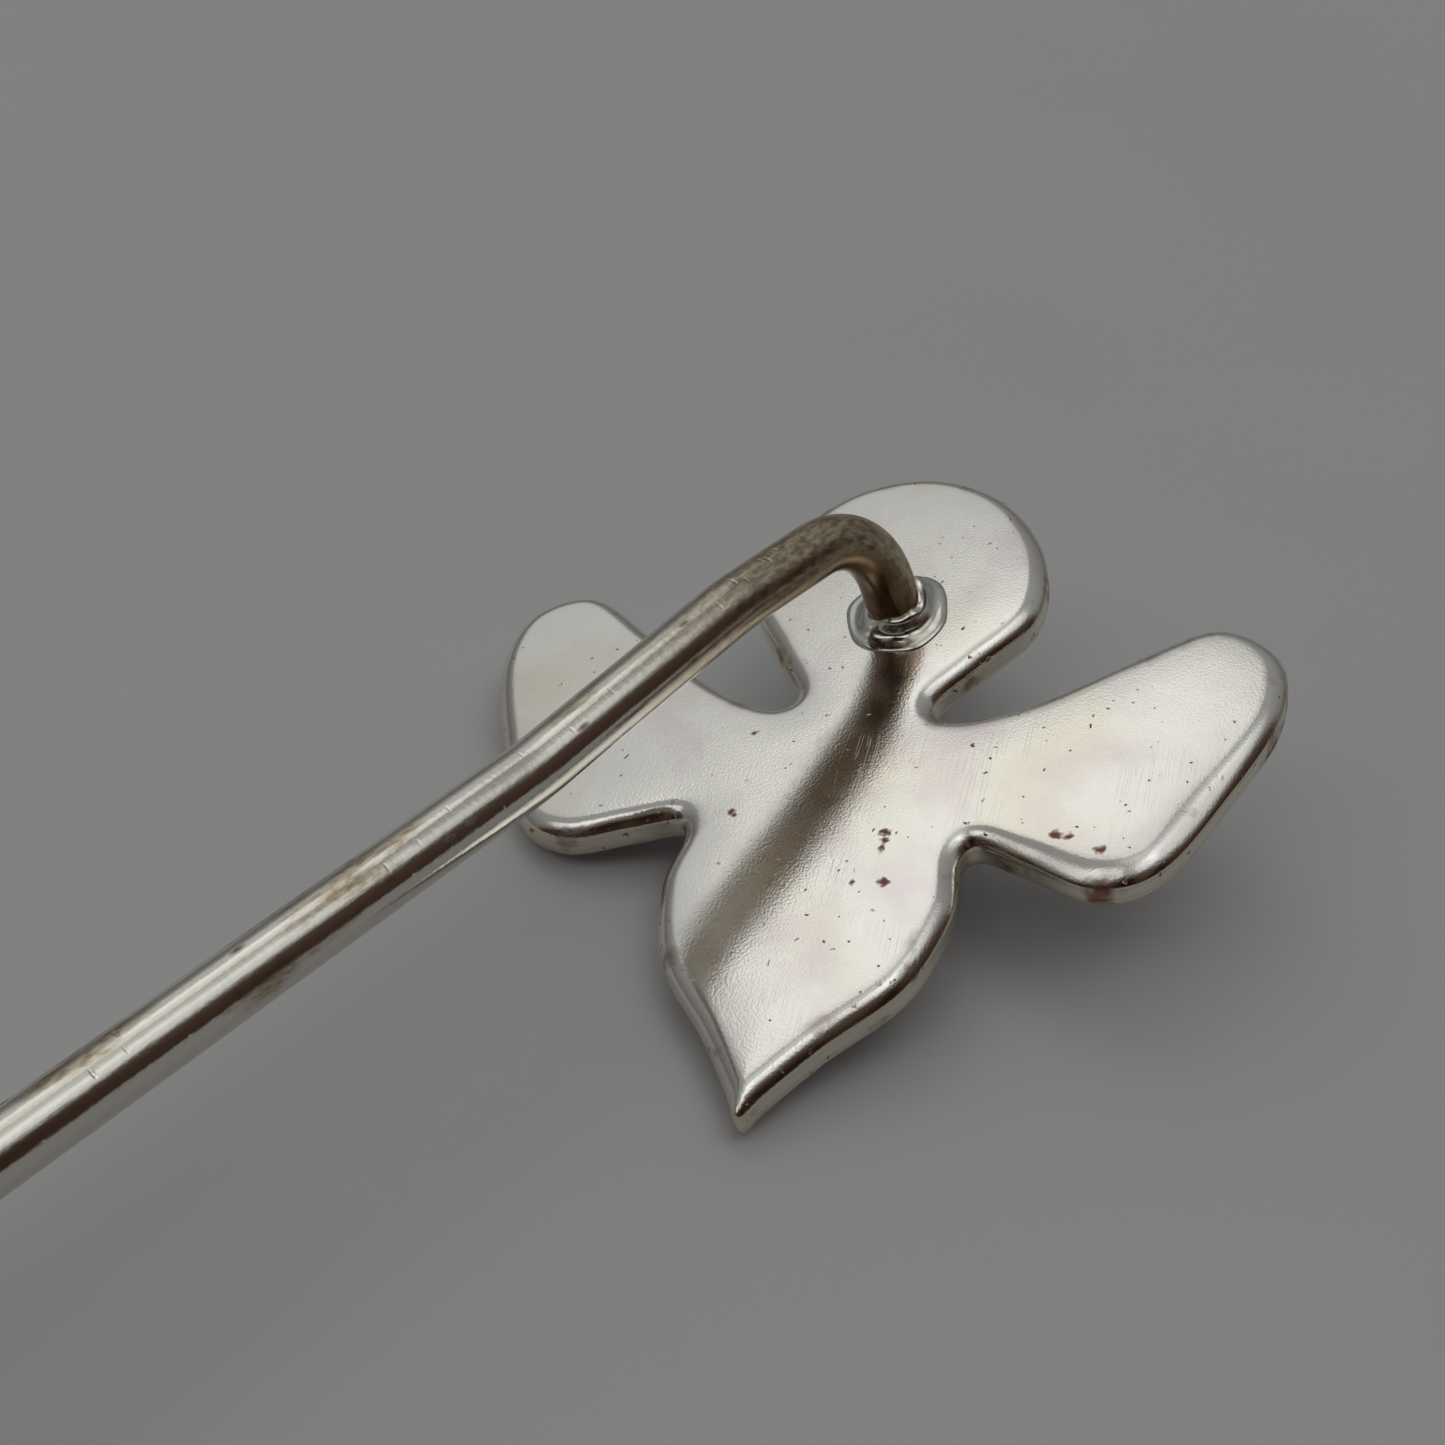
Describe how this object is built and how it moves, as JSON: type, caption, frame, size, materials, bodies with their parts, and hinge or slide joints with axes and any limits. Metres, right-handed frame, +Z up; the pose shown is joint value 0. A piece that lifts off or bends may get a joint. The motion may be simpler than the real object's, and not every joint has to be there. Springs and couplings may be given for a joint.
{
  "type": "stick pin",
  "caption": "Tie or lapel stick pin: flat silver-plated ornament with lobes, a bent pin wire soldered to its back and a push-on guard over the point.",
  "frame": {"origin": "on the table under the middle of the pin's box, with the pin lying face down on two edges of its plate and on its guard", "axes": "+Z up from the table; the point looks along -Y, so the ornament is at +Y; +X to the right seen from above with the point towards the viewer"},
  "size_m": [0.0122, 0.055, 0.0049],
  "materials": {
    "silver_plate": "silver plated, polished and then worn, with fine scratches, pits and tarnish along the rim",
    "solder": "soft solder, smooth and bright",
    "pin_wire": "drawn wire under worn silver plate, with brown tarnish",
    "guard_metal": "drawn barrel, silver plated and polished",
    "nylon": "natural moulded nylon"
  },
  "bodies": {
    "pin": {"ornament_plate": "silver_plate", "solder_collar": "solder", "pin_stem": "pin_wire"},
    "guard": {"guard_barrel": "guard_metal", "guard_sleeve": "nylon", "guard_mouth_ring": "guard_metal"}
  },
  "joints": [
    {"name": "guard_slide", "type": "slide", "parent": "pin", "child": "guard", "axis": [0, -0.9986, -0.0529], "range_m": [0, 0.03]}
  ]
}
